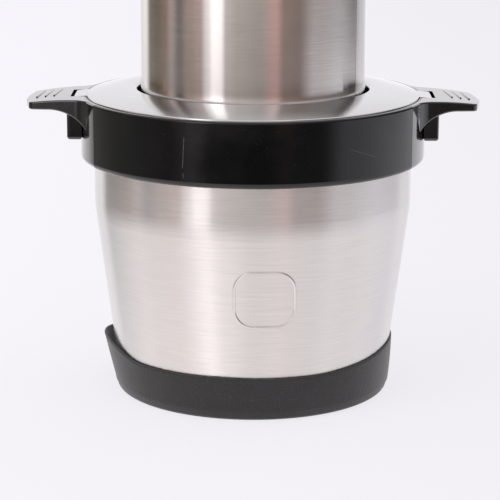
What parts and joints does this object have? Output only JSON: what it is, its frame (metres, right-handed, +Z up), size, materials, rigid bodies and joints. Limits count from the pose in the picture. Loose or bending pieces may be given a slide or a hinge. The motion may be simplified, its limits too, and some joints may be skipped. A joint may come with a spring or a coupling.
{
  "type": "yam pounder",
  "caption": "Countertop yam pounder: brushed steel bowl in a soft boot, gloss black collar with wing handles, steel lid and an upright motor head driving blades in the bowl.",
  "frame": {"origin": "on the table, under the middle of the bowl", "axes": "+Z up along the bowl axis, +X along the right wing handle, -Y towards the front"},
  "size_m": [0.3282, 0.25, 0.355],
  "materials": {
    "boot_rubber": "soft matte charcoal",
    "bowl_steel": "fine brushed round the bowl",
    "turned_steel": "turned bright",
    "blade_steel": "ground flat",
    "collar_plastic": "high gloss black",
    "cover_steel": "fine brushed, satin",
    "housing_steel": "fine brushed round the drum",
    "lid_plastic": "satin black",
    "seal_rubber": "translucent white silicone",
    "cap_plastic": "gloss black",
    "button_plastic": "satin black",
    "inner_plastic": "plain moulded",
    "screw_steel": "zinc plated",
    "spring_steel": "bright wire",
    "gland_rubber": "matte black",
    "gearbox_alloy": "die cast",
    "gear_steel": "cut teeth, oiled",
    "gear_nylon": "white nylon",
    "bronze": "sintered",
    "core_iron": "stamped stack",
    "copper": "enamelled wire",
    "carbon": "pressed carbon"
  },
  "bodies": {
    "bowl_unit": {"base_boot": "boot_rubber", "bowl": "bowl_steel", "bowl_post": "turned_steel", "thrust_washer": "gear_nylon", "collar_ring": "collar_plastic", "handle_right": "collar_plastic", "handle_left": "collar_plastic", "handle_screws": "screw_steel"},
    "head": {"lid_cover": "cover_steel", "lid_base": "lid_plastic", "lid_seal": "seal_rubber", "motor_housing": "housing_steel", "top_cap": "cap_plastic", "switch_block": "inner_plastic", "switch_plate": "inner_plastic", "cord_gland": "gland_rubber", "cap_screws": "screw_steel", "gearbox_housing": "gearbox_alloy", "gearbox_cover": "gearbox_alloy", "gearbox_screws": "screw_steel", "output_bush": "bronze", "shaft_seal": "gland_rubber", "lower_bracket": "gearbox_alloy", "lower_bearing": "turned_steel", "stator_core": "core_iron", "field_coils": "copper", "upper_bracket": "gearbox_alloy", "upper_bearing": "turned_steel", "brush_holders": "bronze", "carbon_brushes": "carbon", "motor_bolts": "screw_steel"},
    "blade_unit": {"blade_hub": "turned_steel", "lower_blade": "blade_steel", "blade_spacer": "turned_steel", "upper_blade": "blade_steel", "blade_nut": "turned_steel"},
    "gear_output": {"planet_carrier": "gear_steel", "drive_coupler": "turned_steel"},
    "planet_1": {"planet_gear_1": "gear_nylon"},
    "planet_2": {"planet_gear_2": "gear_nylon"},
    "planet_3": {"planet_gear_3": "gear_nylon"},
    "armature": {"armature_shaft": "turned_steel", "armature_core": "core_iron", "armature_windings": "copper", "commutator": "copper", "cooling_fan": "inner_plastic", "sun_pinion": "gear_steel"},
    "high_button": {"button_high": "button_plastic", "button_high_spring": "spring_steel"},
    "low_button": {"button_low": "button_plastic", "button_low_spring": "spring_steel"}
  },
  "joints": [
    {"name": "head_lift", "type": "slide", "parent": "bowl_unit", "child": "head", "axis": [0, 0, 1], "range_m": [0, 0.2]},
    {"name": "blade_spin", "type": "hinge", "parent": "bowl_unit", "child": "blade_unit", "pos_m": [0, 0, 0.03], "axis": [0, 0, 1], "continuous": true},
    {"name": "output_spin", "type": "hinge", "parent": "head", "child": "gear_output", "pos_m": [0, 0, 0.2], "axis": [0, 0, 1], "continuous": true},
    {"name": "planet_1_spin", "type": "hinge", "parent": "gear_output", "child": "planet_1", "pos_m": [0.01875, 0, 0.219], "axis": [0, 0, 1], "continuous": true},
    {"name": "planet_2_spin", "type": "hinge", "parent": "gear_output", "child": "planet_2", "pos_m": [-0.00937, 0.01624, 0.219], "axis": [0, 0, 1], "continuous": true},
    {"name": "planet_3_spin", "type": "hinge", "parent": "gear_output", "child": "planet_3", "pos_m": [-0.00937, -0.01624, 0.219], "axis": [0, 0, 1], "continuous": true},
    {"name": "armature_spin", "type": "hinge", "parent": "head", "child": "armature", "pos_m": [0, 0, 0.27], "axis": [0, 0, 1], "continuous": true},
    {"name": "high_button_press", "type": "slide", "parent": "head", "child": "high_button", "axis": [0, 0, -1], "range_m": [0, 0.003], "stiffness_N_per_m": 400, "springref_m": -0.002, "deforming": ["button_high_spring"]},
    {"name": "low_button_press", "type": "slide", "parent": "head", "child": "low_button", "axis": [0, 0, -1], "range_m": [0, 0.003], "stiffness_N_per_m": 400, "springref_m": -0.002, "deforming": ["button_low_spring"]}
  ],
  "couplings": [
    {"joint": "output_spin", "follows": "blade_spin", "ratio": 1},
    {"joint": "planet_1_spin", "follows": "blade_spin", "ratio": -2.6667},
    {"joint": "planet_2_spin", "follows": "blade_spin", "ratio": -2.6667},
    {"joint": "planet_3_spin", "follows": "blade_spin", "ratio": -2.6667},
    {"joint": "armature_spin", "follows": "blade_spin", "ratio": 5}
  ]
}
